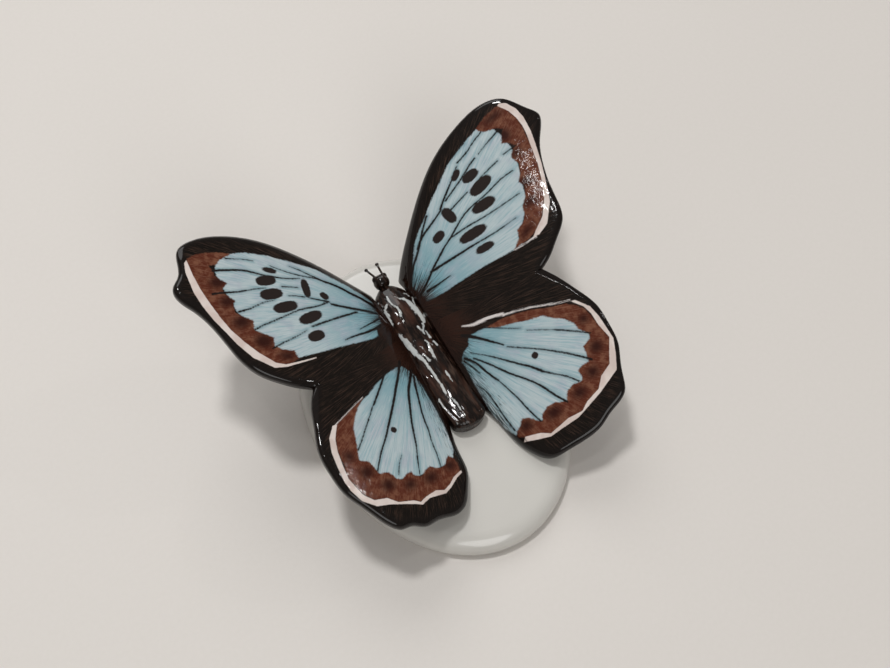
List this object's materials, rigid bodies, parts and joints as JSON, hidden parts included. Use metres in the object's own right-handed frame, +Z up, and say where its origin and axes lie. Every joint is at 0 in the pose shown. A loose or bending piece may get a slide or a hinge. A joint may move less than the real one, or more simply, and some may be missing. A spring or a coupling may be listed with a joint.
{
  "type": "butterfly ornament",
  "caption": "Glazed porcelain butterfly with raised wings, painted in pale blue, chestnut brown and black, fixed on a low oval white dome.",
  "frame": {"origin": "on the table, under the middle of the ornament's overall box", "axes": "+Z up, +Y the way the butterfly faces, +X to the butterfly's right, across its wing span"},
  "size_m": [0.0975, 0.0883, 0.0411],
  "materials": {
    "white_porcelain": "glossy",
    "painted_wing": "glossy",
    "painted_body": "glossy"
  },
  "bodies": {
    "root": {"base_dome": "white_porcelain", "mounting_pad": "white_porcelain", "thorax": "painted_body", "abdomen": "painted_body", "head": "painted_body", "left_forewing": "painted_wing", "right_forewing": "painted_wing", "left_hindwing": "painted_wing", "right_hindwing": "painted_wing", "left_antenna": "painted_body", "right_antenna": "painted_body"}
  },
  "joints": []
}
